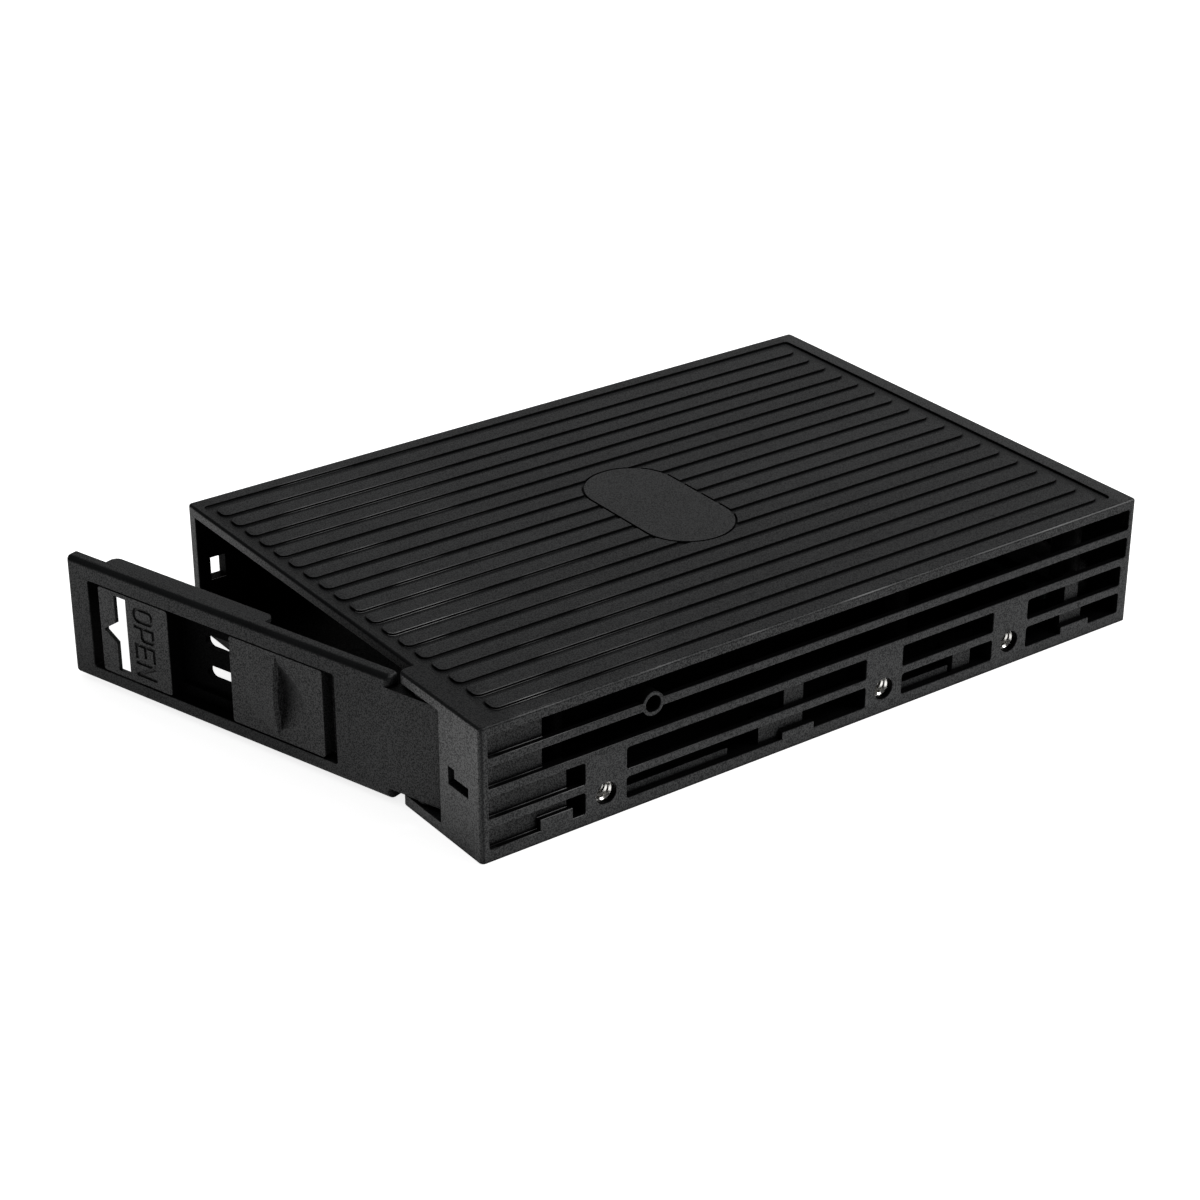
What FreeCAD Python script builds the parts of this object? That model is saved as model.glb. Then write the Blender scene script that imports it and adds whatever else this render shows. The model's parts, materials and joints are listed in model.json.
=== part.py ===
import FreeCAD, Part
import math
import os
import Sketcher

# Drive bay adapter: a carrier the size of a large drive that takes a small drive behind a hinged door.
# All lengths are in millimetres. Origin: centre of the underside. +X hinge side, -Y front, +Z up.

doc = FreeCAD.newDocument("drive_bay_adapter")
sheet = doc.addObject("Spreadsheet::Sheet", "Sizes")
named = []


class Dim:
    """A length that carries its number together with the sheet expression it comes from."""

    def __init__(self, text, number):
        self.text = text
        self.number = number

    def __add__(self, other):
        other = dim(other)
        return Dim("(%s + %s)" % (self.text, other.text), self.number + other.number)

    def __sub__(self, other):
        other = dim(other)
        return Dim("(%s - %s)" % (self.text, other.text), self.number - other.number)

    def __mul__(self, factor):
        return Dim("(%s * %s)" % (self.text, factor), self.number * factor)

    def __truediv__(self, factor):
        return Dim("(%s / %s)" % (self.text, factor), self.number / factor)

    def __neg__(self):
        return Dim("(0 - %s)" % self.text, -self.number)


def dim(value):
    """Turn a plain number into a Dim; leave a Dim as it is."""
    if isinstance(value, Dim):
        return value
    return Dim("(%s)" % repr(float(value)), float(value))


def size(name, number):
    """Write one driving dimension into the sheet under its own name."""
    named.append(name)
    row = len(named)
    sheet.set("A%d" % row, name)
    sheet.set("B%d" % row, str(number))
    sheet.setAlias("B%d" % row, name)
    return Dim("Sizes." + name, number)


# Envelope and walls
body_width = size("body_width", 101.6)
body_length = size("body_length", 147.0)
body_height = size("body_height", 25.4)
wall = size("wall", 2.0)
side_wall = size("side_wall", 1.2)
rear_wall = size("rear_wall", 1.6)
pillar_wall = size("pillar_wall", 2.5)
front_setback = size("front_setback", 2.84)
pillar_width = size("pillar_width", 12.1)
lip_reach = size("lip_reach", 12.3)
corner_round = size("corner_round", 0.8)
edge_round = size("edge_round", 0.5)
lip_round = size("lip_round", 1.5)
fit_gap = size("fit_gap", 0.15)
press_gap = size("press_gap", 0.02)

# Top cover pattern
field_side = size("field_side", 3.1)
field_front = size("field_front", 1.46)
field_rear = size("field_rear", 3.5)
field_depth = size("field_depth", 0.38)
field_round = size("field_round", 1.0)
strip_count = 18
strip_pitch = size("strip_pitch", 5.203)
strip_width = size("strip_width", 3.55)
strip_round = size("strip_round", 1.2)
strip_end = size("strip_end", 1.46)
strip_rear_end = size("strip_rear_end", 2.4)
strip_shift = size("strip_shift", 0.55)
badge_length = size("badge_length", 34.6)
badge_width = size("badge_width", 18.0)
badge_round = size("badge_round", 8.9)
badge_gap = size("badge_gap", 0.45)

# Side slots, webs and threaded inserts
slot_low = size("slot_low", 2.2)
slot_height = size("slot_height", 4.25)
slot_pitch = size("slot_pitch", 5.7)
slot_end = size("slot_end", 1.5)
slot_round = size("slot_round", 0.6)
web_width = size("web_width", 8.4)
insert_front = size("insert_front", 25.0)
insert_middle = size("insert_middle", 86.0)
insert_rear = size("insert_rear", 116.4)
insert_height = size("insert_height", 4.8)
insert_radius = size("insert_radius", 2.1)
insert_bore = size("insert_bore", 1.45)
insert_length = size("insert_length", 4.1)
insert_recess = size("insert_recess", 1.1)
insert_chamfer = size("insert_chamfer", 0.3)
boss_depth = size("boss_depth", 4.2)
boss_top = size("boss_top", 9.0)
panel = size("panel", 1.4)
blind_upper = size("blind_upper", 12.85)
blind_lower = size("blind_lower", 17.67)
panel_top = size("panel_top", 13.1)
panel_behind = size("panel_behind", 2.35)
panel_ahead = size("panel_ahead", 2.0)
panel_foot = size("panel_foot", 7.5)
rear_foot_ahead = size("rear_foot_ahead", 2.35)
rear_foot_behind = size("rear_foot_behind", 3.05)
rear_panel_ahead = size("rear_panel_ahead", 1.5)
rear_panel_behind = size("rear_panel_behind", 1.85)
ledge_height = size("ledge_height", 1.3)
front_ledge_height = size("front_ledge_height", 2.1)
front_ledge_width = size("front_ledge_width", 6.45)
ledge_width = size("ledge_width", 7.0)
ledge_shift = size("ledge_shift", 0.5)
snap_front = size("snap_front", 14.9)
snap_middle = size("snap_middle", 65.9)
snap_rear = size("snap_rear", 132.75)
ring_back = size("ring_back", 34.64)
ring_height = size("ring_height", 18.7)
ring_radius = size("ring_radius", 2.2)
ring_hole = size("ring_hole", 1.6)
base_insert_x = size("base_insert_x", 47.625)
base_insert_rear = size("base_insert_rear", 41.28)
base_insert_span = size("base_insert_span", 44.45)
base_insert_length = size("base_insert_length", 2.1)
screw_tip_radius = size("screw_tip_radius", 1.6)
screw_tip_depth = size("screw_tip_depth", 5.0)
base_boss_radius = size("base_boss_radius", 2.9)
base_boss_height = size("base_boss_height", 6.8)

# Drive bay
bay_width = size("bay_width", 70.6)
partition = size("partition", 1.5)
partition_front = size("partition_front", 7.5)
partition_rear = size("partition_rear", 36.5)
bar_depth = size("bar_depth", 10.7)
cheek_back = size("cheek_back", 15.5)
cheek_wall = size("cheek_wall", 2.6)

# Latch window in the left wall and the cut in the pillar
hole_back = size("hole_back", 2.6)
hole_width = size("hole_width", 3.1)
hole_low = size("hole_low", 9.75)
hole_height = size("hole_height", 4.65)
elbow_left = size("elbow_left", 2.5)
elbow_width = size("elbow_width", 6.0)
elbow_low = size("elbow_low", 10.8)
elbow_height = size("elbow_height", 3.5)
elbow_leg = size("elbow_leg", 1.9)

# Bottom cover, its screws and the board
cover_screw_radius = size("cover_screw_radius", 1.1)
cover_screw_length = size("cover_screw_length", 8.0)
cover_head_radius = size("cover_head_radius", 2.2)
cover_head_height = size("cover_head_height", 1.1)
cover_hole_radius = size("cover_hole_radius", 1.35)
cover_post_radius = size("cover_post_radius", 2.8)
post_right = size("post_right", 15.5)
post_front = size("post_front", 23.5)
post_middle = size("post_middle", 101.5)
post_corner = size("post_corner", 6.0)
post_corner_left = size("post_corner_left", 11.0)
post_rear = size("post_rear", 11.5)
upstand_height = size("upstand_height", 1.75)
upstand_wall = size("upstand_wall", 1.2)
board_left = size("board_left", 33.0)
board_right = size("board_right", 40.0)
board_front = size("board_front", 43.0)
board_rear = size("board_rear", 66.0)
board_thickness = size("board_thickness", 1.6)
standoff = size("standoff", 1.2)
standoff_radius = size("standoff_radius", 2.4)
board_screw_inset = size("board_screw_inset", 3.2)
board_screw_radius = size("board_screw_radius", 1.0)
board_screw_length = size("board_screw_length", 4.0)
board_head_radius = size("board_head_radius", 1.9)
board_head_height = size("board_head_height", 1.3)
board_hole_radius = size("board_hole_radius", 1.2)
drive_offset = size("drive_offset", 4.8)
socket_width = size("socket_width", 40.0)
socket_depth = size("socket_depth", 6.8)
socket_drop = size("socket_drop", 2.2)
socket_rise = size("socket_rise", 3.6)
socket_mouth = size("socket_mouth", 35.0)
mouth_height = size("mouth_height", 2.1)
mouth_depth = size("mouth_depth", 5.2)
plug_x = size("plug_x", 20.68)
plug_width = size("plug_width", 41.4)
plug_end = size("plug_end", 0.4)
tongue_height = size("tongue_height", 1.2)
contact_pitch = size("contact_pitch", 1.27)
contact_gap = size("contact_gap", 6.35)
contact_width = size("contact_width", 0.6)
contact_thickness = size("contact_thickness", 0.3)
contact_tail = size("contact_tail", 2.5)
contact_inset = size("contact_inset", 0.9)

# Door, hinge and latch slider, in the door's own frame with the hinge axis at its origin
hinge_x = size("hinge_x", 31.5)
hinge_back = size("hinge_back", 3.0)
door_open = size("door_open", 17.5)
door_reach = size("door_reach", 82.3)
door_start = size("door_start", 6.3)
door_low = size("door_low", 0.8)
door_high = size("door_high", 24.6)
door_thickness = size("door_thickness", 2.4)
door_edge = size("door_edge", 1.1)
tail_round = size("tail_round", 2.2)
window_left = size("window_left", 77.0)
window_right = size("window_right", 18.4)
window_low = size("window_low", 3.6)
window_high = size("window_high", 21.1)
window_round = size("window_round", 0.5)
rail_left = size("rail_left", 76.5)
rail_right = size("rail_right", 38.0)
low_rail_left = size("low_rail_left", 64.0)
rail_high = size("rail_high", 23.1)
rail_low = size("rail_low", 2.3)
rail_depth = size("rail_depth", 4.6)
rail_thickness = size("rail_thickness", 0.8)
rail_round = size("rail_round", 1.5)
rail_lip = size("rail_lip", 1.3)
lip_wall = size("lip_wall", 1.2)
rib_depth = size("rib_depth", 1.9)
rib_top = size("rib_top", 22.6)
hinge_low = size("hinge_low", 3.0)
hinge_high = size("hinge_high", 22.4)
hinge_tail = size("hinge_tail", 6.0)
knuckle_radius = size("knuckle_radius", 2.6)
knuckle_gap = size("knuckle_gap", 0.3)
pin_radius = size("pin_radius", 1.0)
pin_gap = size("pin_gap", 0.05)
pin_seat = size("pin_seat", 1.0)
slide_gap = size("slide_gap", 0.2)
slider_base = size("slider_base", 1.2)
slider_right = size("slider_right", 17.9)
plate_left = size("plate_left", 74.3)
plate_right = size("plate_right", 57.4)
plate_low = size("plate_low", 4.0)
plate_high = size("plate_high", 20.8)
grip_left = size("grip_left", 42.5)
grip_right = size("grip_right", 21.2)
grip_crest = size("grip_crest", 31.7)
grip_rise = size("grip_rise", 1.1)
grip_radius = size("grip_radius", 30.0)
scoop_depth = size("scoop_depth", 1.5)
scoop_radius = size("scoop_radius", 15.0)
scoop_width = size("scoop_width", 6.5)
arrow_right = size("arrow_right", 67.6)
arrow_bar = size("arrow_bar", 2.9)
arrow_tip = size("arrow_tip", 73.5)
arrow_low = size("arrow_low", 4.9)
arrow_high = size("arrow_high", 20.0)
arrow_head = size("arrow_head", 4.0)
word_base = size("word_base", 65.9)
word_cap = size("word_cap", 5.0)
word_top = size("word_top", 19.4)
letter_width = size("letter_width", 3.1)
letter_gap = size("letter_gap", 0.55)
stroke = size("stroke", 0.65)
word_depth = size("word_depth", 0.35)
letter_round = size("letter_round", 1.4)
letter_bevel = size("letter_bevel", 0.55)
skin = size("skin", 0.8)
pocket_right = size("pocket_right", 67.2)
pan_low = size("pan_low", 4.9)
pan_high = size("pan_high", 20.3)
pan_wall = size("pan_wall", 0.8)
clip_left = size("clip_left", 51.9)
clip_right = size("clip_right", 43.5)
clip_low = size("clip_low", 7.9)
clip_high = size("clip_high", 14.0)
clip_height = size("clip_height", 2.7)
clip_round = size("clip_round", 1.3)
arm_left = size("arm_left", 67.2)
arm_width = size("arm_width", 1.7)
arm_low = size("arm_low", 16.8)
arm_high = size("arm_high", 18.7)
arm_reach = size("arm_reach", 9.5)
nose_width = size("nose_width", 2.0)
nose_depth = size("nose_depth", 1.5)
strike_gap = size("strike_gap", 0.8)
strike_play = size("strike_play", 0.3)
strike_width = size("strike_width", 2.0)
strike_depth = size("strike_depth", 1.9)
strike_low = size("strike_low", 17.0)
doc.recompute()

# Places that several pieces share
zero = dim(0)
half_width = body_width / 2
half_length = body_length / 2
inner_x = half_width - side_wall
front = -half_length
rear = half_length
set_back = front + front_setback
pillar_x = half_width - pillar_width
lip_x = pillar_x - lip_reach
roof = body_height - wall
inner_rear = rear - rear_wall
bay_left = boss_depth - inner_x
bay_right = bay_left + bay_width
bay_middle = (bay_left + bay_right) / 2
cover_front = set_back + bar_depth
inserts = [front + insert_front, front + insert_middle, front + insert_rear]
base_inserts = [rear - base_insert_rear, rear - base_insert_rear - base_insert_span]
hinge_y = front + hinge_back
board_low = wall + standoff
board_high = board_low + board_thickness
socket_x = bay_middle + drive_offset
cover_screw_places = [
    (half_width - post_right, front + post_front),
    (half_width - post_right, front + post_middle),
    (half_width - post_corner, rear - post_rear),
    (post_corner_left - half_width, rear - post_rear),
]
board_screw_places = [
    (board_screw_inset - board_left, board_front + board_screw_inset),
    (board_screw_inset - board_left, board_rear - board_screw_inset),
    (board_right - board_screw_inset, board_front + board_screw_inset),
    (board_right - board_screw_inset, board_rear - board_screw_inset * 2.5),
]

NORMAL = {"XY": 1, "XZ": -1, "YZ": 1}


def hold(item, kind, geometry, point, value):
    """Hold one coordinate of a sketch point, or a radius, at a sheet expression."""
    value = dim(value)
    if kind == "Radius":
        index = item.addConstraint(Sketcher.Constraint(kind, geometry, value.number))
    else:
        index = item.addConstraint(Sketcher.Constraint(kind, -1, 1, geometry, point, value.number))
    item.setExpression("Constraints[%d]" % index, value.text)


def poly(*corners):
    """A closed outline through the corners given."""

    def draw(item):
        first = item.GeometryCount
        count = len(corners)
        spots = [FreeCAD.Vector(dim(x).number, dim(y).number, 0) for x, y in corners]
        lines = [Part.LineSegment(spots[i], spots[(i + 1) % count]) for i in range(count)]
        item.addGeometry(lines, False)
        joins = []
        for i in range(count):
            joins.append(Sketcher.Constraint("Coincident", first + i, 2, first + (i + 1) % count, 1))
        item.addConstraint(joins)
        for i, (x, y) in enumerate(corners):
            hold(item, "DistanceX", first + i, 1, x)
            hold(item, "DistanceY", first + i, 1, y)

    return draw


def box(left, low, right, high):
    """A plain rectangle."""
    return poly((left, low), (right, low), (right, high), (left, high))


def soft_box(left, low, right, high, radius):
    """A rectangle with round corners."""

    def draw(item):
        first = item.GeometryCount
        x0, y0, x1, y1, r = [dim(v).number for v in (left, low, right, high, radius)]
        up = FreeCAD.Vector(0, 0, 1)
        runs = [
            ((x0 + r, y0), (x1 - r, y0)),
            ((x1, y0 + r), (x1, y1 - r)),
            ((x1 - r, y1), (x0 + r, y1)),
            ((x0, y1 - r), (x0, y0 + r)),
        ]
        lines = [Part.LineSegment(FreeCAD.Vector(*a, 0), FreeCAD.Vector(*b, 0)) for a, b in runs]
        item.addGeometry(lines, False)
        middles = [(x1 - r, y0 + r), (x1 - r, y1 - r), (x0 + r, y1 - r), (x0 + r, y0 + r)]
        bends = []
        for turn, (x, y) in enumerate(middles):
            start = (turn - 1) * math.pi / 2
            round_ = Part.Circle(FreeCAD.Vector(x, y, 0), up, r)
            bends.append(Part.ArcOfCircle(round_, start, start + math.pi / 2))
        item.addGeometry(bends, False)
        rules = []
        for turn in range(4):
            rules.append(Sketcher.Constraint("Tangent", first + turn, 2, first + 4 + turn, 1))
            rules.append(Sketcher.Constraint("Tangent", first + 4 + turn, 2, first + (turn + 1) % 4, 1))
        for turn in range(1, 4):
            rules.append(Sketcher.Constraint("Equal", first + 4, first + 4 + turn))
        rules.append(Sketcher.Constraint("Horizontal", first))
        rules.append(Sketcher.Constraint("Vertical", first + 1))
        rules.append(Sketcher.Constraint("Horizontal", first + 2))
        rules.append(Sketcher.Constraint("Vertical", first + 3))
        item.addConstraint(rules)
        hold(item, "DistanceY", first, 1, low)
        hold(item, "DistanceX", first + 1, 1, right)
        hold(item, "DistanceY", first + 2, 1, high)
        hold(item, "DistanceX", first + 3, 1, left)
        hold(item, "Radius", first + 4, 0, radius)

    return draw


def disc(x, y, radius):
    """A circle."""

    def draw(item):
        first = item.GeometryCount
        middle = FreeCAD.Vector(dim(x).number, dim(y).number, 0)
        item.addGeometry(Part.Circle(middle, FreeCAD.Vector(0, 0, 1), dim(radius).number), False)
        hold(item, "DistanceX", first, 3, x)
        hold(item, "DistanceY", first, 3, y)
        hold(item, "Radius", first, 0, radius)

    return draw


def new_body(label):
    """A named body; groups of like pieces keep their separate solids."""
    body = doc.addObject("PartDesign::Body", label)
    body.Label = label
    body.AllowCompound = True
    return body


def sketch(body, name, plane, place, shapes):
    """A sketch on one of the body's own planes, moved to a place along that plane's axis."""
    item = body.newObject("Sketcher::SketchObject", body.Name + "_" + name + "_sketch")
    base = next(f for f in body.Origin.OriginFeatures if f.Role == plane + "_Plane")
    item.AttachmentSupport = [(base, "")]
    item.MapMode = "FlatFace"
    lift = dim(place) if NORMAL[plane] > 0 else -dim(place)
    item.setExpression("AttachmentOffset.Base.z", lift.text)
    for draw in shapes:
        draw(item)
    item.Visibility = False
    return item


def add(body, name, plane, place, go, length, *shapes):
    """Pad outlines from a place along the plane's axis, towards plus or minus."""
    item = sketch(body, name, plane, place, shapes)
    feature = body.newObject("PartDesign::Pad", body.Name + "_" + name)
    feature.Profile = item
    feature.setExpression("Length", dim(length).text)
    feature.Reversed = go != NORMAL[plane]
    doc.recompute()
    return feature


def cut(body, name, plane, place, go, length, *shapes):
    """Pocket outlines from a place along the plane's axis, towards plus or minus."""
    item = sketch(body, name, plane, place, shapes)
    feature = body.newObject("PartDesign::Pocket", body.Name + "_" + name)
    feature.Profile = item
    feature.setExpression("Length", dim(length).text)
    feature.Reversed = go == NORMAL[plane]
    doc.recompute()
    return feature


def repeat(body, name, feature, axis, pitch, count):
    """Repeat a feature along one of the body's axes."""
    row = body.newObject("PartDesign::LinearPattern", body.Name + "_" + name)
    row.Originals = [feature]
    line = next(f for f in body.Origin.OriginFeatures if f.Role == axis + "_Axis")
    row.Direction = (line, [""])
    row.setExpression("Length", (pitch * (count - 1)).text)
    row.Occurrences = count
    body.Tip = row
    doc.recompute()
    return row


def soften(body, name, radius, wanted):
    """Round the edges of the body so far that answer the test given."""
    base = body.Tip
    names = ["Edge%d" % (i + 1) for i, edge in enumerate(base.Shape.Edges) if wanted(edge)]
    feature = body.newObject("PartDesign::Fillet", body.Name + "_" + name)
    feature.Base = (base, names)
    feature.setExpression("Radius", dim(radius).text)
    doc.recompute()
    return feature


def bevel(body, name, length, wanted):
    """Cut the edges of the body so far that answer the test given."""
    base = body.Tip
    names = ["Edge%d" % (i + 1) for i, edge in enumerate(base.Shape.Edges) if wanted(edge)]
    feature = body.newObject("PartDesign::Chamfer", body.Name + "_" + name)
    feature.Base = (base, names)
    feature.setExpression("Size", dim(length).text)
    doc.recompute()
    return feature


def near(a, b):
    return abs(a - dim(b).number) < 0.001


def upright(edge):
    box_ = edge.BoundBox
    return box_.XLength < 0.001 and box_.YLength < 0.001 and box_.ZLength > 0.001


def middle_of(edge):
    return edge.BoundBox.Center


# Housing: one moulding with the top, sides, rear wall, pillar, hinge lips and front bar
housing = new_body("housing")
add(housing, "block", "XY", 0, 1, body_height,
    poly((-half_width, set_back), (lip_x, set_back), (lip_x, front), (half_width, front),
         (half_width, rear), (-half_width, rear)))


def outer_corner(edge):
    return upright(edge) and not near(middle_of(edge).x, lip_x)


def lip_corner(edge):
    return upright(edge) and near(middle_of(edge).x, lip_x) and near(middle_of(edge).y, front)


soften(housing, "corners", corner_round, outer_corner)
soften(housing, "lip_corner", lip_round, lip_corner)
soften(housing, "rim", edge_round, lambda edge: near(edge.BoundBox.ZMin, body_height))
cut(housing, "cavity", "XY", wall, 1, roof - wall,
    poly((-inner_x, front - 2), (pillar_x, front - 2), (pillar_x, front + pillar_wall),
         (inner_x, front + pillar_wall), (inner_x, inner_rear), (-inner_x, inner_rear)))
cut(housing, "under", "XY", 0, 1, wall, box(-inner_x, cover_front, inner_x, inner_rear))
add(housing, "cheek", "XY", wall, 1, roof - wall,
    box(-inner_x, set_back, cheek_wall - half_width, front + cheek_back))
posts = [disc(x, y, cover_post_radius) for x, y in cover_screw_places]
add(housing, "posts", "XY", roof, -1, roof - wall,
    box(bay_right, front + partition_front, bay_right + partition, partition_rear), *posts)
strike_x = hinge_x - arm_left + arm_width + nose_width + strike_gap
nose_front = hinge_y + arm_reach - nose_depth
strike_back = nose_front - strike_play
add(housing, "strike", "XY", roof, -1, roof - strike_low,
    box(strike_x, strike_back - strike_depth, strike_x + strike_width, strike_back))

# Panels behind the blind stretches of the side slots, and blocks behind the inserts
foot_top = slot_low + slot_pitch - 1
middle_y = front + snap_middle
rear_y = front + snap_rear
panel_front = front + pillar_wall - 0.5
mid_panel = poly((middle_y - panel_foot, wall), (middle_y + panel_behind, wall),
                 (middle_y + panel_behind, panel_top), (middle_y - panel_ahead, panel_top),
                 (middle_y - panel_ahead, foot_top), (middle_y - panel_foot, foot_top))
rear_panel = poly((rear_y - rear_foot_ahead, wall), (rear_y + rear_foot_behind, wall),
                  (rear_y + rear_foot_behind, foot_top), (rear_y + rear_panel_behind, foot_top),
                  (rear_y + rear_panel_behind, panel_top), (rear_y - rear_panel_ahead, panel_top),
                  (rear_y - rear_panel_ahead, foot_top), (rear_y - rear_foot_ahead, foot_top))
front_panel = poly((panel_front, wall), (front + blind_lower, wall), (front + blind_lower, panel_top),
                   (front + blind_upper, panel_top), (front + blind_upper, roof), (panel_front, roof))
add(housing, "panels_right", "YZ", inner_x, -1, panel, front_panel, mid_panel, rear_panel)
add(housing, "panels_left", "YZ", -inner_x, 1, panel, mid_panel, rear_panel)
blocks = [box(y - web_width / 2, wall + fit_gap, y + web_width / 2, boss_top) for y in inserts]
add(housing, "blocks_right", "YZ", inner_x, -1, boss_depth, *blocks)
add(housing, "blocks_left", "YZ", -inner_x, 1, boss_depth, *blocks)
base_spots = [(x, y) for x in (base_insert_x, -base_insert_x) for y in base_inserts]
add(housing, "base_bosses", "XY", 0, 1, base_boss_height,
    *[disc(x, y, base_boss_radius) for x, y in base_spots])


def lower_slots(first_start):
    """The slots of a lower row, parted by the webs that hold the inserts."""
    starts = [y + web_width / 2 for y in inserts]
    ends = [y - web_width / 2 for y in inserts[1:]] + [rear - slot_end - 1]
    if first_start is not None:
        starts.insert(0, first_start)
        ends.insert(0, inserts[0] - web_width / 2)
    return [soft_box(a, slot_low, b, slot_low + slot_height, slot_round) for a, b in zip(starts, ends)]


def upper_slots(start):
    """The one long slot of an upper row."""
    low = slot_low + slot_pitch * 2
    return [soft_box(start, low, rear - slot_end, low + slot_height, slot_round)]


for side, place, go, low_start, high_start in (
        ("right", half_width, -1, front + slot_end, front + slot_end),
        ("left", -half_width, 1, None, front + blind_upper)):
    low_row = cut(housing, "low_slots_" + side, "YZ", place, go, side_wall, *lower_slots(low_start))
    repeat(housing, "low_rows_" + side, low_row, "Z", slot_pitch, 2)
    high_row = cut(housing, "high_slots_" + side, "YZ", place, go, side_wall, *upper_slots(high_start))
    repeat(housing, "high_rows_" + side, high_row, "Z", slot_pitch, 2)


def ledge(y, width, height):
    """A snap ledge that fills the foot of the lowest slot."""
    return box(y - width / 2, slot_low - 0.3, y + width / 2, slot_low + height)


# Snap ledges in the lowest row and the ring on the rail between the two upper rows
ledges = [ledge(y + ledge_shift, ledge_width, ledge_height) for y in (middle_y, rear_y)]
front_ledge = ledge(front + snap_front, front_ledge_width, front_ledge_height)
add(housing, "ledges_right", "YZ", half_width, -1, side_wall, front_ledge, *ledges)
add(housing, "ledges_left", "YZ", -half_width, 1, side_wall, *ledges)
add(housing, "ring", "YZ", half_width, -1, wall, disc(front + ring_back, ring_height, ring_radius))
cut(housing, "ring_hole", "YZ", half_width, -1, wall, disc(front + ring_back, ring_height, ring_hole))

# Holes for the inserts, screws, hinge pin and host plug
sockets = [disc(y, insert_height, insert_radius + press_gap) for y in inserts]
socket_length = insert_recess + insert_length
cut(housing, "insert_holes_right", "YZ", half_width, -1, socket_length, *sockets)
cut(housing, "insert_holes_left", "YZ", -half_width, 1, socket_length, *sockets)
cut(housing, "base_insert_holes", "XY", 0, 1, base_insert_length,
    *[disc(x, y, insert_radius + press_gap) for x, y in base_spots])
cut(housing, "screw_tips", "XY", 0, 1, screw_tip_depth,
    *[disc(x, y, screw_tip_radius) for x, y in base_spots])
cut(housing, "post_holes", "XY", wall, 1, cover_screw_length,
    *[disc(x, y, cover_screw_radius + press_gap) for x, y in cover_screw_places])
cut(housing, "pin_hole", "XY", 0, 1, wall, disc(hinge_x, hinge_y, pin_radius + press_gap))
cut(housing, "pin_seat", "XY", roof, 1, pin_seat, disc(hinge_x, hinge_y, pin_radius + press_gap))
cut(housing, "plug_opening", "XZ", rear, -1, rear_wall,
    soft_box(plug_x - plug_width / 2 - fit_gap * 2, board_low - fit_gap * 5,
             plug_x + plug_width / 2 + fit_gap * 2, board_high + socket_rise + fit_gap * 2, slot_round))
cut(housing, "wall_window", "YZ", -half_width, 1, cheek_wall,
    box(set_back + hole_back, hole_low, set_back + hole_back + hole_width, hole_low + hole_height))
elbow_x = pillar_x + elbow_left
cut(housing, "pillar_cut", "XZ", front, 1, pillar_wall,
    poly((elbow_x, elbow_low), (elbow_x + elbow_width, elbow_low),
         (elbow_x + elbow_width, elbow_low + elbow_leg), (elbow_x + elbow_leg, elbow_low + elbow_leg),
         (elbow_x + elbow_leg, elbow_low + elbow_height), (elbow_x, elbow_low + elbow_height)))

# Top: a shallow field, long raised strips and a bare oval pad
cut(housing, "field", "XY", body_height, -1, field_depth,
    soft_box(field_side - half_width, set_back + field_front,
             half_width - field_side, rear - field_rear, field_round))
first_strip = strip_shift - strip_pitch * ((strip_count - 1) / 2)
strip = add(housing, "strip", "XY", body_height - field_depth, 1, field_depth,
            soft_box(first_strip - strip_width / 2, set_back + field_front + strip_end,
                     first_strip + strip_width / 2, rear - field_rear - strip_rear_end, strip_round))
repeat(housing, "strips", strip, "X", strip_pitch, strip_count)
half_badge = badge_length / 2
half_deep = badge_width / 2
cut(housing, "badge_gap", "XY", body_height, -1, field_depth,
    soft_box(strip_shift - half_badge - badge_gap, -half_deep - badge_gap,
             strip_shift + half_badge + badge_gap, half_deep + badge_gap, badge_round + badge_gap))
add(housing, "badge", "XY", body_height - field_depth, 1, field_depth,
    soft_box(strip_shift - half_badge, -half_deep, strip_shift + half_badge, half_deep, badge_round))

# Bottom cover with board bosses and low upstands behind the side rails
bottom_cover = new_body("bottom_cover")
cover_x = inner_x - fit_gap
add(bottom_cover, "plate", "XY", 0, 1, wall,
    box(-cover_x, cover_front + fit_gap, cover_x, inner_rear - fit_gap))
stands = []
for left, right in ((cover_x - upstand_wall, cover_x), (-cover_x, upstand_wall - cover_x)):
    stands.append(box(left, inserts[0] + web_width / 2 + 0.6, right, front + insert_front + 26.7))
    stands.append(box(left, inserts[1] + web_width / 2 + 0.3,
                      right, base_inserts[0] - base_boss_radius - 0.25))
add(bottom_cover, "upstands", "XY", wall, 1, upstand_height, *stands)
add(bottom_cover, "bosses", "XY", wall, 1, standoff,
    *[disc(x, y, standoff_radius) for x, y in board_screw_places])
cut(bottom_cover, "boss_holes", "XY", board_low, -1, board_screw_length - board_thickness,
    *[disc(x, y, board_screw_radius + press_gap) for x, y in board_screw_places])
cut(bottom_cover, "boss_notches", "XY", 0, 1, wall,
    *[disc(x, y, base_boss_radius + fit_gap) for x, y in base_spots])
cut(bottom_cover, "screw_holes", "XY", 0, 1, wall,
    *[disc(x, y, cover_hole_radius) for x, y in cover_screw_places])
cut(bottom_cover, "screw_heads", "XY", 0, 1, cover_head_height + fit_gap,
    *[disc(x, y, cover_head_radius + fit_gap) for x, y in cover_screw_places])

# Cover screws from below, with a hexagon recess
cover_screws = new_body("cover_screws")
head_low = dim(fit_gap)
add(cover_screws, "heads", "XY", head_low, 1, cover_head_height,
    *[disc(x, y, cover_head_radius) for x, y in cover_screw_places])
add(cover_screws, "shanks", "XY", head_low + cover_head_height, 1, cover_screw_length,
    *[disc(x, y, cover_screw_radius) for x, y in cover_screw_places])
cut(cover_screws, "recess", "XY", head_low, 1, cover_head_height / 2,
    *[disc(x, y, cover_head_radius / 2) for x, y in cover_screw_places])

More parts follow.
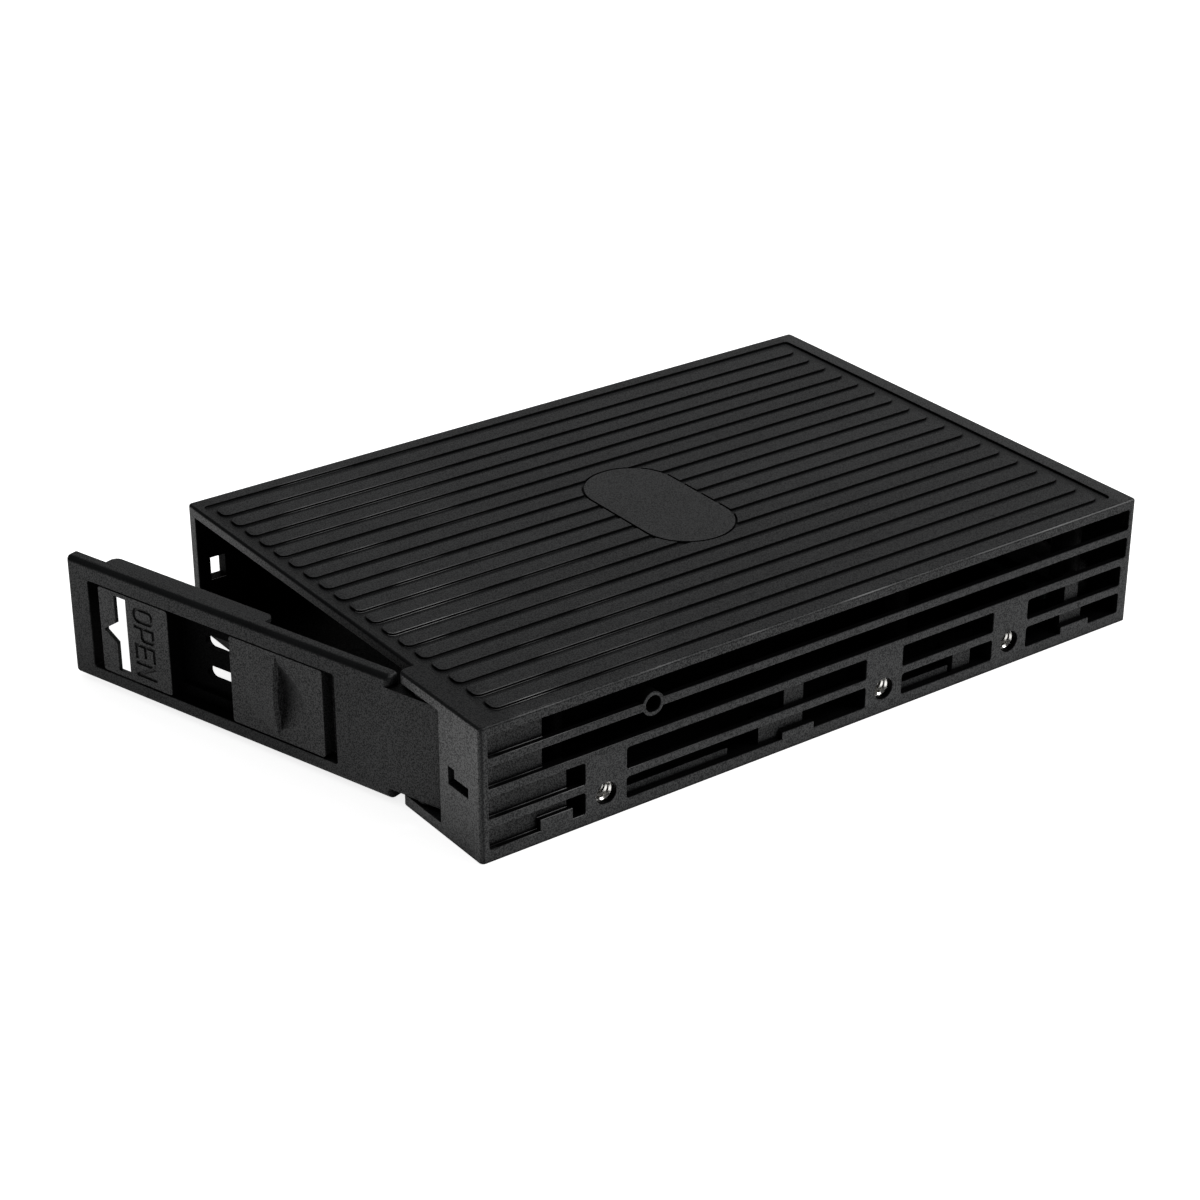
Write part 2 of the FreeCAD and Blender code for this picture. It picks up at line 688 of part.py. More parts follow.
# Threaded inserts in the sides and in the underside
side_inserts = new_body("side_inserts")
sleeves = [disc(y, insert_height, insert_radius) for y in inserts]
bores = [disc(y, insert_height, insert_bore) for y in inserts]
insert_mouth = half_width - insert_recess
add(side_inserts, "right", "YZ", insert_mouth, -1, insert_length, *sleeves)
add(side_inserts, "left", "YZ", -insert_mouth, 1, insert_length, *sleeves)
cut(side_inserts, "bores_right", "YZ", insert_mouth, -1, insert_length, *bores)
cut(side_inserts, "bores_left", "YZ", -insert_mouth, 1, insert_length, *bores)


def thread_mouth(edge):
    return near(edge.BoundBox.ZLength, insert_bore * 2) and near(abs(middle_of(edge).x), insert_mouth)


bevel(side_inserts, "mouths", insert_chamfer, thread_mouth)

bottom_inserts = new_body("bottom_inserts")
add(bottom_inserts, "sleeves", "XY", 0, 1, base_insert_length,
    *[disc(x, y, insert_radius) for x, y in base_spots])
cut(bottom_inserts, "bores", "XY", 0, 1, base_insert_length,
    *[disc(x, y, insert_bore) for x, y in base_spots])

# Board with the drive's socket in front and the host plug behind
circuit_board = new_body("circuit_board")
add(circuit_board, "sheet", "XY", board_low, 1, board_thickness,
    soft_box(-board_left, board_front, board_right, board_rear, slot_round))
cut(circuit_board, "holes", "XY", board_low, 1, board_thickness,
    *[disc(x, y, board_hole_radius) for x, y in board_screw_places])

board_screws = new_body("board_screws")
add(board_screws, "heads", "XY", board_high, 1, board_head_height,
    *[disc(x, y, board_head_radius) for x, y in board_screw_places])
add(board_screws, "shanks", "XY", board_high, -1, board_screw_length,
    *[disc(x, y, board_screw_radius) for x, y in board_screw_places])
cut(board_screws, "recess", "XY", board_high + board_head_height, -1, board_head_height / 2,
    *[disc(x, y, board_head_radius / 2) for x, y in board_screw_places])

drive_socket = new_body("drive_socket")
add(drive_socket, "shell", "XY", board_high - socket_drop, 1, socket_drop + socket_rise,
    box(socket_x - socket_width / 2, board_front - socket_depth, socket_x + socket_width / 2, board_front))
cut(drive_socket, "mouth", "XZ", board_front - socket_depth, 1, mouth_depth,
    box(socket_x - socket_mouth / 2, board_high, socket_x + socket_mouth / 2, board_high + mouth_height))

host_plug = new_body("host_plug")
plug_rear = rear - plug_end
add(host_plug, "shell", "XY", board_high - socket_drop, 1, socket_drop + socket_rise,
    box(plug_x - plug_width / 2, board_rear, plug_x + plug_width / 2, plug_rear))
half_mouth = socket_mouth / 2 + 1.5
cut(host_plug, "mouth", "XZ", plug_rear, -1, mouth_depth,
    box(plug_x - half_mouth, board_high - socket_drop + 0.8,
        plug_x + half_mouth, board_high + socket_rise - 0.8))
add(host_plug, "tongue", "XZ", plug_rear - contact_inset / 2, -1, mouth_depth,
    box(plug_x - socket_mouth / 2, board_high - tongue_height, plug_x + socket_mouth / 2, board_high))


def contacts(label, middle, start, end):
    """A row of seven and a row of fifteen flat contacts that lie level with the board's top."""
    group = new_body(label)
    span = contact_pitch * 20 + contact_gap
    first = middle - span / 2
    second = first + contact_pitch * 6 + contact_gap
    for name, x, count in (("short", first, 7), ("long", second, 15)):
        blade = add(group, name, "XY", board_high, 1, contact_thickness,
                    box(x - contact_width / 2, start, x + contact_width / 2, end))
        repeat(group, name + "_row", blade, "X", contact_pitch, count)
    return group


socket_contacts = contacts("socket_contacts", socket_x,
                           board_front - socket_depth + contact_inset, board_front + contact_tail)
plug_contacts = contacts("plug_contacts", plug_x,
                         board_rear - contact_tail, plug_rear - contact_inset)

# Door in its own frame: hinge axis at the origin, closed face along -X, front face at -hinge_back
door_front = -hinge_back
door_back = door_front + door_thickness
rail_back = door_back + rail_depth
door = new_body("door")
add(door, "flange", "XZ", door_back, -1, door_thickness,
    box(-door_reach, door_low, -door_start, door_high))


def flange_corner(edge):
    return edge.BoundBox.YLength > 1 and edge.BoundBox.XLength < 0.001


soften(door, "flange_ends", corner_round, flange_corner)


def front_long_edge(edge):
    return near(middle_of(edge).y, door_front) and edge.BoundBox.YLength < 0.001


soften(door, "flange_rim", door_edge, front_long_edge)
add(door, "tongue", "XZ", door_back, -1, door_thickness,
    box(-door_start - 2, hinge_low, hinge_tail, hinge_high))
add(door, "knuckle", "XY", wall + knuckle_gap, 1, roof - wall - knuckle_gap * 2,
    disc(0, 0, knuckle_radius))


def tail_edge(edge):
    return upright(edge) and near(middle_of(edge).x, hinge_tail) and near(middle_of(edge).y, door_front)


soften(door, "tail_round", tail_round, tail_edge)
cut(door, "bore", "XY", 0, 1, body_height, disc(0, 0, pin_radius + pin_gap))
cut(door, "window", "XZ", door_front - 1, 1, door_thickness + 2,
    soft_box(-window_left, window_low, -window_right, window_high, window_round))

# Guide rails with turned lips that hold the slider against the back of the door, and a rib that stops it
add(door, "top_rail", "XY", rail_high, -1, rail_thickness,
    box(-rail_left, door_back, -rail_right, rail_back))


def rail_corner(edge):
    return upright(edge) and near(middle_of(edge).y, rail_back)


soften(door, "rail_corners", rail_round, rail_corner)
base_front = door_back + slide_gap
base_back = base_front + slider_base
lip_front = base_back + slide_gap
lip_back = lip_front + lip_wall
add(door, "low_rail", "XY", rail_low, 1, rail_thickness,
    box(-low_rail_left, door_back, -rail_right, lip_back))
add(door, "top_lip", "XY", rail_high - rail_thickness, -1, rail_lip,
    box(-rail_left, lip_front, -rail_right, lip_back))
add(door, "low_lip", "XY", rail_low + rail_thickness, 1, rail_lip,
    box(-low_rail_left, lip_front, -rail_right, lip_back))
add(door, "stop_rib", "XY", rail_low, 1, rib_top - rail_low,
    box(-window_left - lip_wall, door_back, -window_left, door_back + rib_depth))

hinge_pin = new_body("hinge_pin")
add(hinge_pin, "rod", "XY", 0, 1, roof + pin_seat - fit_gap, disc(0, 0, pin_radius))

# Latch slider: base plate, flush plate with an arrow and a word, and a ridged grip
latch_slider = new_body("latch_slider")
base_low = rail_low + rail_thickness + slide_gap
base_high = rail_high - rail_thickness - slide_gap
add(latch_slider, "base", "XZ", base_back, -1, slider_base,
    soft_box(-plate_left, base_low, -slider_right, base_high, slot_round))
add(latch_slider, "plates", "XZ", base_front, -1, base_front - door_front,
    soft_box(-plate_left, plate_low, -plate_right, plate_high, window_round),
    soft_box(-grip_left, plate_low, -grip_right, plate_high, window_round))
arrow_mid = (arrow_low + arrow_high) / 2
bar_left = -arrow_right - arrow_bar
cut(latch_slider, "arrow", "XZ", door_front - 1, 1, base_back - door_front + 2,
    poly((-arrow_right, arrow_low), (-arrow_right, arrow_high), (bar_left, arrow_high),
         (bar_left, arrow_mid + arrow_head / 2), (-arrow_tip, arrow_mid),
         (bar_left, arrow_mid - arrow_head / 2), (bar_left, arrow_low)))
cut(latch_slider, "arrow_pocket", "XZ", base_back, -1, base_back - door_front - skin,
    box(-plate_left - 1, base_low - 1, -pocket_right, arrow_high))
add(latch_slider, "pan", "XZ", base_back, 1, slider_base,
    box(-plate_right - pan_wall, pan_low, pan_wall - grip_left, pan_high))
cut(latch_slider, "pan_hollow", "XZ", base_back, -1, slider_base,
    box(-plate_right, pan_low + pan_wall, -grip_left, pan_high - pan_wall))
cut(latch_slider, "clip_slots", "XZ", base_back, 1, slider_base,
    soft_box(-clip_left, clip_low, -clip_right, clip_low + clip_height, clip_round),
    soft_box(-clip_left, clip_high, -clip_right, clip_high + clip_height, clip_round))


def letter(index, strokes):
    """Outlines of one letter, drawn along the word that reads downwards; a runs along, b up."""
    top = word_top - (letter_width + letter_gap) * index
    return [poly(*[(b - word_base, top - a) for a, b in corners]) for corners in strokes]


def round_letter(inset, radius):
    """A rounded outline of the word's first letter, set in by a distance."""
    low = word_top - letter_width + inset
    return soft_box(inset - word_base, low, word_cap - inset - word_base, word_top - inset, radius)


w = letter_width
c = word_cap
s = stroke
n = letter_bevel
word = [round_letter(zero, letter_round), round_letter(s, letter_round - s)]
half_cap = c * 0.45
word += letter(1, [
    [(zero, zero), (s, zero), (s, half_cap - s), (w - n, half_cap - s), (w, half_cap - s + n),
     (w, c - n), (w - n, c), (zero, c)],
    [(s, half_cap), (w - s - n / 2, half_cap), (w - s, half_cap + n / 2),
     (w - s, c - s - n / 2), (w - s - n / 2, c - s), (s, c - s)]])
mid_low = (c - s) / 2
mid_high = (c + s) / 2
word += letter(2, [
    [(zero, zero), (w, zero), (w, s), (s, s), (s, mid_low), (w * 0.85, mid_low),
     (w * 0.85, mid_high), (s, mid_high), (s, c - s), (w, c - s), (w, c), (zero, c)]])
word += letter(3, [
    [(zero, zero), (s, zero), (s, c * 0.7), (w - s, zero), (w, zero), (w, c), (w - s, c),
     (w - s, c * 0.3), (s, c), (zero, c)]])
cut(latch_slider, "word", "XZ", door_front, 1, word_depth, *word)


def turned(feature_type, name, axis_y, corners, angle):
    """Turn a small profile about a line across the grip, evenly to both sides of its middle."""
    item = sketch(latch_slider, name, "XY", arrow_mid, [poly(*corners)])
    start = FreeCAD.Vector(-60, axis_y.number, 0)
    end = FreeCAD.Vector(-5, axis_y.number, 0)
    line = item.addGeometry(Part.LineSegment(start, end), True)
    for point, x in ((1, -60), (2, -5)):
        hold(item, "DistanceX", line, point, x)
        hold(item, "DistanceY", line, point, axis_y)
    feature = latch_slider.newObject(feature_type, "latch_slider_" + name)
    feature.Profile = item
    feature.ReferenceAxis = (item, ["Axis0"])
    feature.Midplane = True
    feature.Angle = angle
    doc.recompute()
    return feature


crest_y = door_front - grip_rise
ridge_axis = crest_y + grip_radius
turned("PartDesign::Revolution", "ridge", ridge_axis,
       [(-grip_left + 1, door_front + 0.3), (-grip_crest + 0.6, door_front + 0.3), (-grip_crest, crest_y),
        (-grip_left + 1, door_front + 0.1)], 30)
scoop_axis = door_front - scoop_radius + scoop_depth
turned("PartDesign::Groove", "scoop", scoop_axis,
       [(-grip_crest + 0.5, door_front + scoop_depth), (-grip_crest + scoop_width, door_front),
        (-grip_crest + scoop_width, door_front - 2), (-grip_crest + 0.2, door_front - 2)], 70)

# Hook arm that reaches behind the strike under the housing's top
arm_right = arm_width - arm_left
arm_root = base_back - 0.2
add(latch_slider, "arm", "XY", arm_low, 1, arm_high - arm_low,
    poly((-arm_left, arm_root), (arm_right, arm_root), (arm_right, arm_reach - nose_depth),
         (arm_right + nose_width, arm_reach - nose_depth), (arm_right + 0.6, arm_reach),
         (-arm_left, arm_reach)))

# Set the door's pieces on the hinge, swung open
for piece in (door, latch_slider, hinge_pin):
    piece.setExpression("Placement.Base.x", hinge_x.text)
    piece.setExpression("Placement.Base.y", hinge_y.text)
for piece in (door, latch_slider):
    piece.Placement.Rotation.Axis = FreeCAD.Vector(0, 0, 1)
    piece.setExpression("Placement.Rotation.Angle", door_open.text)

doc.recompute()

pieces = [housing, bottom_cover, cover_screws, side_inserts, bottom_inserts, circuit_board, board_screws,
          drive_socket, socket_contacts, host_plug, plug_contacts, door, hinge_pin, latch_slider]

for item in doc.Objects:
    if "Invalid" in item.State or "Error" in item.State:
        raise RuntimeError("object not sound: %s %s" % (item.Name, item.State))

os.makedirs("parts", exist_ok=True)
for piece in pieces:
    shape = piece.Shape
    if shape.isNull() or not shape.isValid() or not shape.Solids:
        raise RuntimeError("shape not sound: " + piece.Label)
    shape.exportStep("parts/%s.step" % piece.Label)
    size_box = shape.BoundBox
    print("%-16s solids %3d volume %10.2f  x %.2f %.2f  y %.2f %.2f  z %.2f %.2f" % (
        piece.Label, len(shape.Solids), shape.Volume, size_box.XMin, size_box.XMax,
        size_box.YMin, size_box.YMax, size_box.ZMin, size_box.ZMax))
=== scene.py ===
import json
import math

import bpy
from mathutils import Matrix, Vector


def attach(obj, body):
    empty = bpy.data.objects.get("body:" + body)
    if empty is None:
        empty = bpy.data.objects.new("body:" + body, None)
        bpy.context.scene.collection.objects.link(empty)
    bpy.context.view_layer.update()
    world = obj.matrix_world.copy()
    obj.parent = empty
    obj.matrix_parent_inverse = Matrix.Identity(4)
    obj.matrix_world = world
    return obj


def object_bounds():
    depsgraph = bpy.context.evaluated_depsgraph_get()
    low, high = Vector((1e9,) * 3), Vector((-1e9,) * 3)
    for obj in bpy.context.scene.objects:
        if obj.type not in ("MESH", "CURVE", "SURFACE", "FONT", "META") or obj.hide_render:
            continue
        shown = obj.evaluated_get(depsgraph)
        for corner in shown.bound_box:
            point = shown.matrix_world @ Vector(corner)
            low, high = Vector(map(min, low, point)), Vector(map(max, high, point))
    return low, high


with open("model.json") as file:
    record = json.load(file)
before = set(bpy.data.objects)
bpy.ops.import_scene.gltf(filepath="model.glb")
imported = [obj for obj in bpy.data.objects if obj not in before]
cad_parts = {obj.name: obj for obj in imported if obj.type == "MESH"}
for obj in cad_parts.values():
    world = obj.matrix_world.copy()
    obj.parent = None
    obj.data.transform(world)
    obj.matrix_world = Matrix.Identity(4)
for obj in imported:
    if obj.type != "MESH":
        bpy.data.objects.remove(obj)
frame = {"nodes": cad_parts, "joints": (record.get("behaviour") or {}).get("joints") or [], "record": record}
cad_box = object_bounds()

scene = bpy.context.scene
nodes = frame["nodes"]
MM = 0.001
RISE = (0.0, 1.0)
FALL = (1.0, 0.0)
RIGHT = Vector((1.0, 0.0, 0.0))
UP = Vector((0.0, 0.0, 1.0))


# Driving sizes and the door's place, from the frame

HALF_WIDTH = cad_box[1].x
REAR_END = cad_box[1].y
FRONT_END = -REAR_END
HEIGHT = cad_box[1].z
door_hinge = next(joint for joint in frame["joints"] if joint["name"] == "door_hinge")
HINGE = (door_hinge["pos_m"][0], door_hinge["pos_m"][1], 0.0)
DOOR_TURN = math.radians(-door_hinge["range_deg"][0])
DOOR_RIGHT = Vector((math.cos(DOOR_TURN), math.sin(DOOR_TURN), 0.0))
DOOR_BACK = Vector((-math.sin(DOOR_TURN), math.cos(DOOR_TURN), 0.0))


# Shader helpers


def new_group(name, outputs):
    """A shader group that puts out the named values, and its output node."""
    group = bpy.data.node_groups.new(name, "ShaderNodeTree")
    for label in outputs:
        group.interface.new_socket(label, in_out="OUTPUT", socket_type="NodeSocketFloat")
    return group, group.nodes.new("NodeGroupOutput")


def use_group(tree, group):
    """A node that places a shader group in a material."""
    node = tree.nodes.new("ShaderNodeGroup")
    node.node_tree = group
    return node


def object_place(tree):
    """Where the point lies on its piece at rest, which is its place in the frame."""
    return tree.nodes.new("ShaderNodeTexCoord").outputs["Object"]


def object_facing(tree):
    """The way that the piece's surface faces at the point."""
    return tree.nodes.new("ShaderNodeTexCoord").outputs["Normal"]


def axes(tree, vector):
    """The X, Y and Z of a vector."""
    node = tree.nodes.new("ShaderNodeSeparateXYZ")
    tree.links.new(vector, node.inputs["Vector"])
    return node.outputs["X"], node.outputs["Y"], node.outputs["Z"]


def noise(tree, coords, scale, detail, rough):
    """Cloudy noise about a middle of one half."""
    node = tree.nodes.new("ShaderNodeTexNoise")
    node.inputs["Scale"].default_value = scale
    node.inputs["Detail"].default_value = detail
    node.inputs["Roughness"].default_value = rough
    tree.links.new(coords, node.inputs["Vector"])
    return node.outputs["Fac"]


def ramp(tree, value, span, result=RISE):
    """A value carried from one span to another and held at its ends."""
    node = tree.nodes.new("ShaderNodeMapRange")
    node.inputs["From Min"].default_value = span[0]
    node.inputs["From Max"].default_value = span[1]
    node.inputs["To Min"].default_value = result[0]
    node.inputs["To Max"].default_value = result[1]
    tree.links.new(value, node.inputs["Value"])
    return node.outputs["Result"]


def maths(tree, operation, first, second=0.0):
    """One step of arithmetic on sockets or plain numbers."""
    node = tree.nodes.new("ShaderNodeMath")
    node.operation = operation
    for socket, value in zip(node.inputs, (first, second)):
        if isinstance(value, (int, float)):
            socket.default_value = value
        else:
            tree.links.new(value, socket)
    return node.outputs["Value"]


def product(tree, *values):
    """Several values multiplied together."""
    result = values[0]
    for value in values[1:]:
        result = maths(tree, "MULTIPLY", result, value)
    return result


def greater(tree, first, second):
    """The greater of two values."""
    return maths(tree, "MAXIMUM", first, second)


def inverse(tree, value):
    """What the value leaves of 1."""
    return maths(tree, "SUBTRACT", 1.0, value)


def diagonal(tree, first, second):
    """The diagonal of a rectangle with these two sides."""
    square = maths(tree, "ADD", maths(tree, "POWER", first, 2.0), maths(tree, "POWER", second, 2.0))
    return maths(tree, "SQRT", square)


def along(tree, vector, direction, origin=(0.0, 0.0, 0.0)):
    """How far a vector reaches along a direction, counted from the origin."""
    node = tree.nodes.new("ShaderNodeVectorMath")
    node.operation = "DOT_PRODUCT"
    tree.links.new(vector, node.inputs[0])
    node.inputs[1].default_value = direction
    offset = sum(a * b for a, b in zip(direction, origin))
    return maths(tree, "SUBTRACT", node.outputs["Value"], offset)


def within(tree, value, span, soft):
    """1 inside a span, fading to 0 over a soft distance outside it."""
    rise = ramp(tree, value, (span[0] - soft, span[0]))
    fall = ramp(tree, value, (span[1], span[1] + soft), FALL)
    return product(tree, rise, fall)


def mix_colours(tree, factor, first, second):
    """The first colour where the factor is 0 and the second where it is 1."""
    node = tree.nodes.new("ShaderNodeMix")
    node.data_type = "RGBA"
    tree.links.new(factor, node.inputs["Factor"])
    for socket, value in ((node.inputs["A"], first), (node.inputs["B"], second)):
        if isinstance(value, tuple):
            socket.default_value = value
        else:
            tree.links.new(value, socket)
    return node.outputs["Result"]


# Grain, wear and painted shade in hollows

FINE_SCALE = 4200.0
DRIFT_SCALE = 60.0
RUB_EDGES = (0.52, 0.6)
RUB_SCALE = 420.0
RUB_PATCHES = (0.35, 0.7)
RUB_LEAST = 0.3
CAVITY_REACH = 6.0 * MM
CAVITY_OPEN = (0.25, 0.65)
SEAM_REACH = 0.7 * MM
SEAM_OPEN = (0.7, 0.95)
CAVITY_SAMPLES = 8


def make_grain():
    """Spark-eroded grain of moulded plastic: a fine mask and a slow drift."""
    group, leave = new_group("moulded_grain", ["Fine", "Drift"])
    place = object_place(group)
    fine = noise(group, place, FINE_SCALE, detail=1.0, rough=0.6)
    drift = noise(group, place, DRIFT_SCALE, detail=3.0, rough=0.55)
    group.links.new(fine, leave.inputs["Fine"])
    group.links.new(drift, leave.inputs["Drift"])
    return group


def make_wear():
    """Edges rubbed pale by handling, broken up by noise."""
    group, leave = new_group("edge_rub", ["Mask"])
    point = group.nodes.new("ShaderNodeNewGeometry").outputs["Pointiness"]
    cloud = noise(group, object_place(group), RUB_SCALE, detail=3.0, rough=0.6)
    broken = ramp(group, cloud, RUB_PATCHES, (RUB_LEAST, 1.0))
    group.links.new(product(group, ramp(group, point, RUB_EDGES), broken), leave.inputs["Mask"])
    return group


def open_around(tree, reach, span):
    """1 where little stands within reach of the point, and 0 where much does."""
    node = tree.nodes.new("ShaderNodeAmbientOcclusion")
    node.samples = CAVITY_SAMPLES
    node.inputs["Distance"].default_value = reach
    return ramp(tree, node.outputs["AO"], span)


def make_cavity():
    """Painted shade in slots and corners, darker where more stands close by: 1 in the open, 0 deep inside.
    """
    group, leave = new_group("cavity_shade", ["Open"])
    wide = open_around(group, CAVITY_REACH, CAVITY_OPEN)
    fine = open_around(group, SEAM_REACH, SEAM_OPEN)
    group.links.new(product(group, wide, fine), leave.inputs["Open"])
    return group


GRAIN = make_grain()
WEAR = make_wear()
CAVITY = make_cavity()


# Painted shade in the unlit inside of the shell

SHELL_LOW = 0.15 * MM
SHELL_HIGH = HEIGHT - 2.15 * MM
SHELL_FRONT = FRONT_END + 3.2 * MM
SHELL_REAR = REAR_END - 0.5 * MM
SHELL_SOFT = 0.3 * MM
ROOF_SOFT = 0.12 * MM
WALL_FADE = (HALF_WIDTH - 0.3 * MM, HALF_WIDTH - 0.08 * MM)
PANEL_FADE = (HALF_WIDTH - 1.6 * MM, HALF_WIDTH - 1.45 * MM)
PANEL_LEVEL = 0.75
SIDEWAYS = (0.6, 0.8)
PLUG_FRONT = REAR_END - 12.5 * MM
PLUG_BLADES = REAR_END - 7.5 * MM
SCREW_HEADS = 2.6 * MM


def make_inside(name, rear, low=SHELL_LOW):
    """Painted shade: 0 in the unlit inside of the shell; the faces just behind the side walls stay in sight.
    """
    group, leave = new_group(name, ["Open"])
    x, y, z = axes(group, object_place(group))
    facing_x = axes(group, object_facing(group))[0]
    reach = maths(group, "ABSOLUTE", x)
    deep = within(group, y, (SHELL_FRONT, rear), SHELL_SOFT)
    tall = within(group, z, (low, SHELL_HIGH), ROOF_SOFT)
    inside = product(group, ramp(group, reach, WALL_FADE, FALL), deep, tall)
    sideways = ramp(group, maths(group, "ABSOLUTE", facing_x), SIDEWAYS)
    close = ramp(group, reach, PANEL_FADE, (0.0, PANEL_LEVEL))
    dark = product(group, inside, inverse(group, product(group, sideways, close)))
    group.links.new(inverse(group, dark), leave.inputs["Open"])
    return group


SHELL_SHADE = make_inside("shell_shade", SHELL_REAR)
WORKS_SHADE = make_inside("works_shade", PLUG_FRONT)
SCREW_SHADE = make_inside("screw_shade", SHELL_REAR, SCREW_HEADS)
CONTACT_SHADE = make_inside("contact_shade", PLUG_BLADES)


# Painted shade in the unlit depth of the door's window

WINDOW_RUN = (-77.15 * MM, -21.6 * MM)
WINDOW_HEIGHTS = (3.45 * MM, 21.25 * MM)
WINDOW_FRONT = -2.7 * MM
DOOR_DEPTHS = (WINDOW_FRONT, 1.4 * MM)
SLIDER_DEPTHS = (-1.1 * MM, 1.9 * MM)
SLIDER_GAP = (-57.6 * MM, -42.4 * MM)
WINDOW_SOFT = 0.05 * MM
DEPTH_SOFT = 0.3 * MM


def make_window(name, depths, gap=None):
    """Painted shade: 0 in the window between two depths behind the hinge axis, and in a gap of what fills
    it.
    """
    group, leave = new_group(name, ["Open"])
    place = object_place(group)
    run = along(group, place, DOOR_RIGHT, HINGE)
    depth = along(group, place, DOOR_BACK, HINGE)
    wide = within(group, run, WINDOW_RUN, WINDOW_SOFT)
    tall = within(group, along(group, place, UP, HINGE), WINDOW_HEIGHTS, WINDOW_SOFT)
    inside = product(group, within(group, depth, depths, DEPTH_SOFT), wide, tall)
    if gap:
        open_depth = within(group, depth, (WINDOW_FRONT, depths[1]), DEPTH_SOFT)
        middle = product(group, within(group, run, gap, WINDOW_SOFT), tall, open_depth)
        inside = greater(group, inside, middle)
    group.links.new(inverse(group, inside), leave.inputs["Open"])
    return group


DOOR_SHADE = make_window("door_shade", DOOR_DEPTHS)
SLIDER_SHADE = make_window("slider_shade", SLIDER_DEPTHS, SLIDER_GAP)


# Shine of the housing by place

PAD_SHIFT = 0.55 * MM
PAD_HALF = 17.3 * MM
PAD_ROUND = 9.0 * MM
PAD_FADE = (PAD_ROUND, PAD_ROUND + 0.1 * MM)
PAD_HEIGHTS = (HEIGHT - 0.2 * MM, HEIGHT - 0.1 * MM)
PAD_GAIN = 0.4
PILLAR_FADE = (FRONT_END + 0.1 * MM, FRONT_END + 0.4 * MM)
PILLAR_HEIGHTS = (2.0 * MM, 20.0 * MM)
PILLAR_GAINS = (1.0, 2.3)
LIP_FADE = (FRONT_END + 2.9 * MM, FRONT_END + 3.1 * MM)
LIP_HEIGHTS = (HEIGHT - 1.9 * MM, HEIGHT - 0.7 * MM)
LIP_SOFT = 0.2 * MM
LIP_END = (33.0 * MM, 36.0 * MM)
LIP_GAIN = 1.6
POST_FADE = (FRONT_END + 3.1 * MM, FRONT_END + 3.3 * MM)
POST_SIDE = (2.2 * MM - HALF_WIDTH, 2.6 * MM - HALF_WIDTH)
ROOF_HEIGHTS = (HEIGHT - 0.5 * MM, HEIGHT - 0.3 * MM)
FRONT_BORDER = (FRONT_END + 6.0 * MM, FRONT_END + 7.5 * MM)
FRONT_BORDER_GAIN = -0.35
REAR_BORDER = (REAR_END - 4.0 * MM, REAR_END - 3.0 * MM)
REAR_BORDER_GAIN = 0.7


def pad_gain(tree, x, y, z):
    """What the bare oval pad of the top adds."""
    across = maths(tree, "ABSOLUTE", maths(tree, "SUBTRACT", x, PAD_SHIFT))
    across = greater(tree, maths(tree, "SUBTRACT", across, PAD_HALF - PAD_ROUND), 0.0)
    spread = diagonal(tree, across, y)
    return product(tree, ramp(tree, spread, PAD_FADE, (PAD_GAIN, 0.0)), ramp(tree, z, PAD_HEIGHTS))


def front_gain(tree, x, y, z):
    """What the pillar, the lip over the door and the post at the left add."""
    pillar = product(tree, ramp(tree, z, PILLAR_HEIGHTS, PILLAR_GAINS), ramp(tree, y, PILLAR_FADE, FALL))
    lip = product(tree, ramp(tree, y, LIP_FADE, (LIP_GAIN, 0.0)),
                  within(tree, z, LIP_HEIGHTS, LIP_SOFT), ramp(tree, x, LIP_END, FALL))
    post = product(tree, ramp(tree, y, POST_FADE, (LIP_GAIN, 0.0)), ramp(tree, x, POST_SIDE, FALL))
    return greater(tree, pillar, greater(tree, lip, post))


def border_gain(tree, y, z):
    """What the plain borders at the front and the rear of the top add."""
    front = ramp(tree, y, FRONT_BORDER, (FRONT_BORDER_GAIN, 0.0))
    rear = ramp(tree, y, REAR_BORDER, (0.0, REAR_BORDER_GAIN))
    return product(tree, ramp(tree, z, ROOF_HEIGHTS), maths(tree, "ADD", front, rear))


def make_polish():
    """How many times as shiny as the rest the pad, the front pieces and the borders are."""
    group, leave = new_group("housing_polish", ["Gain"])
    x, y, z = axes(group, object_place(group))
    gain = greater(group, pad_gain(group, x, y, z), front_gain(group, x, y, z))
    gain = maths(group, "ADD", gain, 1.0)
    gain = maths(group, "ADD", gain, border_gain(group, y, z))
    group.links.new(gain, leave.inputs["Gain"])
    return group


POLISH = make_polish()


# Finishes

# Black painted in as shade where the masks say that no light comes
PAINTED_SHADE_BLACK = (0.0015, 0.0015, 0.0016, 1.0)
BLACK_LOW = (0.006, 0.0063, 0.0066, 1.0)
BLACK_HIGH = (0.009, 0.0094, 0.0098, 1.0)
# Pale grey painted onto bright edges as highlights
PAINTED_HIGHLIGHT_GREY = (0.3, 0.3, 0.3, 1.0)
WORN_GAIN = 2.2
WORN_SHARE = 0.6
SHEEN = 0.25
SHEEN_INSIDE = 0.02
SPECKLE = 0.75
SPECKLE_SPAN = (0.4, 0.6)
GRAIN_SPAN = (0.3, 0.7)
ROUGH_BELOW = 0.06
ROUGH_ABOVE = 0.08
PLASTIC_GRAIN = 0.5
PLASTIC_BUMP = 0.09 * MM
PLASTIC_EDGE = 0.12 * MM
METAL_GRAIN = 0.1
METAL_BUMP = 0.03 * MM
METAL_EDGE = 0.08 * MM
EDGE_SAMPLES = 6

STRIP_ROUND = 0.35 * MM
STRIP_TILT = (0.05, 0.2)
STRIP_LEVEL = (0.9, 0.98)
STRIP_STRETCH = (FRONT_END + 9.5 * MM, FRONT_END + 53.5 * MM)
PATCH_SCALE = 45.0
PATCHES = (0.48, 0.64)
PATCH_LEAST = 0.05
BORDER_TURN = (0.95, 0.99)
BORDER_PLACE = (HALF_WIDTH - 1.4 * MM, HALF_WIDTH - 1.2 * MM)
BORDER_SHARE = 0.35
FRONT_EDGE_TURN = (0.78, 0.92)
SIDE_EDGE_SHARE = 0.6
EDGE_SHINE = 0.12

